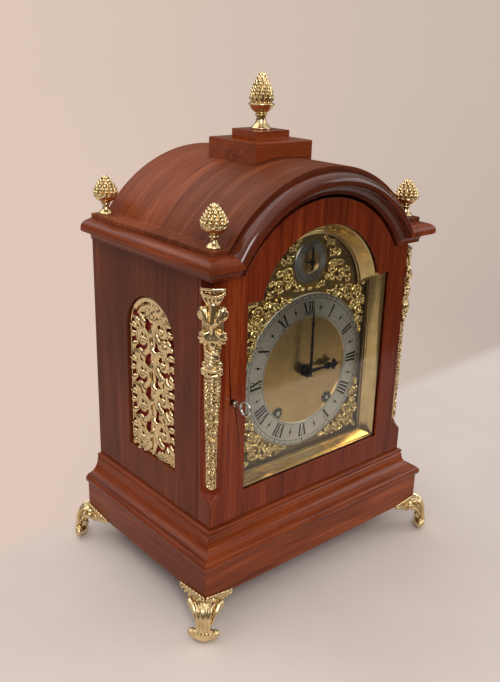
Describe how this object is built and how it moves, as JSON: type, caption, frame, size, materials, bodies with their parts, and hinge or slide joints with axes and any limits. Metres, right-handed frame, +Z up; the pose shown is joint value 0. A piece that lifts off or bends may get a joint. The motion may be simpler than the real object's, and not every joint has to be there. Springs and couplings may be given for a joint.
{
  "type": "chiming clock",
  "caption": "Arched wooden table clock with pierced side grilles, brass mounts and finials, a glazed hinged front door, turning hands, swinging pendulum and gongs.",
  "frame": {"origin": "on the floor, under the middle of the four feet", "axes": "+X to the right as one faces the dial, +Y to the back, +Z up"},
  "size_m": [0.2876, 0.2116, 0.4256],
  "materials": {
    "walnut": "glossy varnish",
    "walnut_roof": "glossy varnish",
    "walnut_moulding": "glossy varnish",
    "plain_wood": "satin oil",
    "cast_brass": "polished, lacquered",
    "polished_brass": "mirror polished",
    "plate_brass": "brushed",
    "dial_gilt": "matted",
    "silvered": "silvered",
    "blued_steel": "blued",
    "bright_steel": "polished",
    "gong_steel": "blued",
    "iron": "japanned black",
    "clear_glass": "clear",
    "crimson_silk": "silk"
  },
  "bodies": {
    "case": {"feet": "cast_brass", "plinth_front": "walnut", "plinth_left": "walnut", "plinth_right": "walnut", "plinth_back": "plain_wood", "base_board": "plain_wood", "side_panel_left": "walnut", "side_panel_right": "walnut", "front_header": "walnut", "back_frame": "plain_wood", "cornice": "walnut_moulding", "arch_moulding": "walnut_moulding", "roof": "walnut_roof", "pedestal_block": "walnut", "pedestal_cap": "walnut", "top_finial": "cast_brass", "corner_finials": "cast_brass", "side_grille_left": "cast_brass", "side_grille_right": "cast_brass", "silk_panels": "crimson_silk", "dial_mask": "plain_wood", "dial_plate": "dial_gilt", "chapter_ring": "silvered", "spandrels": "cast_brass", "strike_silent_ring": "silvered", "case_hinge_leaves": "plate_brass", "button_screw": "cast_brass", "movement_plates": "plate_brass", "plate_pillars": "plate_brass", "seat_board": "plain_wood", "gong_stand": "iron", "coil_gongs": "gong_steel"},
    "front_door": {"door_frame": "walnut", "door_bezel": "polished_brass", "door_glass": "clear_glass", "corner_mounts": "cast_brass", "door_lock": "plate_brass", "door_hinge_leaves": "plate_brass"},
    "door_key": {"key": "bright_steel"},
    "door_bolt": {"lock_bolt": "bright_steel"},
    "back_door": {"back_door_frame": "plain_wood", "back_door_glass": "clear_glass"},
    "door_button": {"turn_button": "cast_brass"},
    "silent_lever": {"strike_silent_hand": "blued_steel"},
    "minute_arbor": {"centre_wheel": "plate_brass", "minute_hand": "blued_steel"},
    "hour_pipe": {"hour_hand": "blued_steel"},
    "minute_wheel": {"minute_wheel": "plate_brass"},
    "going_barrel": {"going_barrel": "plate_brass"},
    "third_wheel": {"third_wheel": "plate_brass"},
    "escape_wheel": {"escape_wheel": "plate_brass"},
    "going_winder": {"going_winding_arbor": "bright_steel"},
    "strike_winder": {"strike_winding_arbor": "bright_steel"},
    "pin_wheel": {"pin_wheel": "plate_brass"},
    "strike_barrel": {"strike_barrel": "plate_brass"},
    "fly": {"fly": "plate_brass"},
    "pendulum": {"anchor": "bright_steel", "pendulum": "plate_brass"},
    "hammer_high": {"hammer_high": "bright_steel"},
    "hammer_low": {"hammer_low": "bright_steel"}
  },
  "joints": [
    {"name": "front_door_swing", "type": "hinge", "parent": "case", "child": "front_door", "pos_m": [0.1156, -0.05975, 0.1867], "axis": [0, 0, 1], "range_deg": [0, 105]},
    {"name": "key_turn", "type": "hinge", "parent": "front_door", "child": "door_key", "pos_m": [-0.0923, -0.076, 0.188], "axis": [0, 1, 0], "range_deg": [0, 90]},
    {"name": "bolt_slide", "type": "slide", "parent": "front_door", "child": "door_bolt", "axis": [-1, 0, 0], "range_m": [0, 0.004]},
    {"name": "back_door_swing", "type": "hinge", "parent": "case", "child": "back_door", "pos_m": [0.08435, 0.0916, 0.1867], "axis": [0, 0, -1], "range_deg": [0, 110]},
    {"name": "button_turn", "type": "hinge", "parent": "case", "child": "door_button", "pos_m": [-0.092, 0.09, 0.1683], "axis": [0, 1, 0], "range_deg": [0, 90]},
    {"name": "silent_turn", "type": "hinge", "parent": "case", "child": "silent_lever", "pos_m": [0, -0.0582, 0.2813], "axis": [0, 1, 0], "range_deg": [-40, 40]},
    {"name": "minute_turn", "type": "hinge", "parent": "case", "child": "minute_arbor", "pos_m": [0, -0.0582, 0.1867], "axis": [0, 1, 0], "continuous": true},
    {"name": "hour_turn", "type": "hinge", "parent": "case", "child": "hour_pipe", "pos_m": [0, -0.0582, 0.1867], "axis": [0, 1, 0], "continuous": true},
    {"name": "minute_wheel_turn", "type": "hinge", "parent": "case", "child": "minute_wheel", "pos_m": [-0.026, -0.0456, 0.1867], "axis": [0, 1, 0], "continuous": true},
    {"name": "going_barrel_turn", "type": "hinge", "parent": "case", "child": "going_barrel", "pos_m": [0.029, -0.0426, 0.1543], "axis": [0, 1, 0], "continuous": true},
    {"name": "third_wheel_turn", "type": "hinge", "parent": "case", "child": "third_wheel", "pos_m": [0.01208, -0.0426, 0.20761], "axis": [0, 1, 0], "continuous": true},
    {"name": "escape_wheel_turn", "type": "hinge", "parent": "case", "child": "escape_wheel", "pos_m": [0, -0.0426, 0.22349], "axis": [0, 1, 0], "continuous": true},
    {"name": "going_winding_turn", "type": "hinge", "parent": "case", "child": "going_winder", "pos_m": [0.029, -0.0582, 0.1543], "axis": [0, 1, 0], "continuous": true},
    {"name": "strike_winding_turn", "type": "hinge", "parent": "case", "child": "strike_winder", "pos_m": [-0.029, -0.0582, 0.1543], "axis": [0, 1, 0], "continuous": true},
    {"name": "pin_wheel_turn", "type": "hinge", "parent": "case", "child": "pin_wheel", "pos_m": [-0.04387, -0.0426, 0.19516], "axis": [0, 1, 0], "continuous": true},
    {"name": "strike_barrel_turn", "type": "hinge", "parent": "case", "child": "strike_barrel", "pos_m": [-0.029, -0.0426, 0.1543], "axis": [0, 1, 0], "continuous": true},
    {"name": "fly_turn", "type": "hinge", "parent": "case", "child": "fly", "pos_m": [-0.03889, -0.0426, 0.21376], "axis": [0, 1, 0], "continuous": true},
    {"name": "pendulum_swing", "type": "hinge", "parent": "case", "child": "pendulum", "pos_m": [0, 0.0004, 0.24149], "axis": [0, 1, 0], "range_deg": [-4, 4]},
    {"name": "hammer_high_lift", "type": "hinge", "parent": "case", "child": "hammer_high", "pos_m": [-0.0674, 0.0004, 0.1348], "axis": [0, -1, 0], "range_deg": [0, 14]},
    {"name": "hammer_low_lift", "type": "hinge", "parent": "case", "child": "hammer_low", "pos_m": [0.0674, 0.0004, 0.1348], "axis": [0, 1, 0], "range_deg": [0, 14]}
  ],
  "couplings": [
    {"joint": "bolt_slide", "follows": "key_turn", "m_per_rad": 0.0025465},
    {"joint": "hour_turn", "follows": "minute_turn", "ratio": 0.083333},
    {"joint": "minute_wheel_turn", "follows": "minute_turn", "ratio": -1},
    {"joint": "going_barrel_turn", "follows": "minute_turn", "ratio": -0.125},
    {"joint": "third_wheel_turn", "follows": "minute_turn", "ratio": -6},
    {"joint": "escape_wheel_turn", "follows": "minute_turn", "ratio": 36},
    {"joint": "strike_barrel_turn", "follows": "pin_wheel_turn", "ratio": -0.125},
    {"joint": "fly_turn", "follows": "pin_wheel_turn", "ratio": -6}
  ]
}
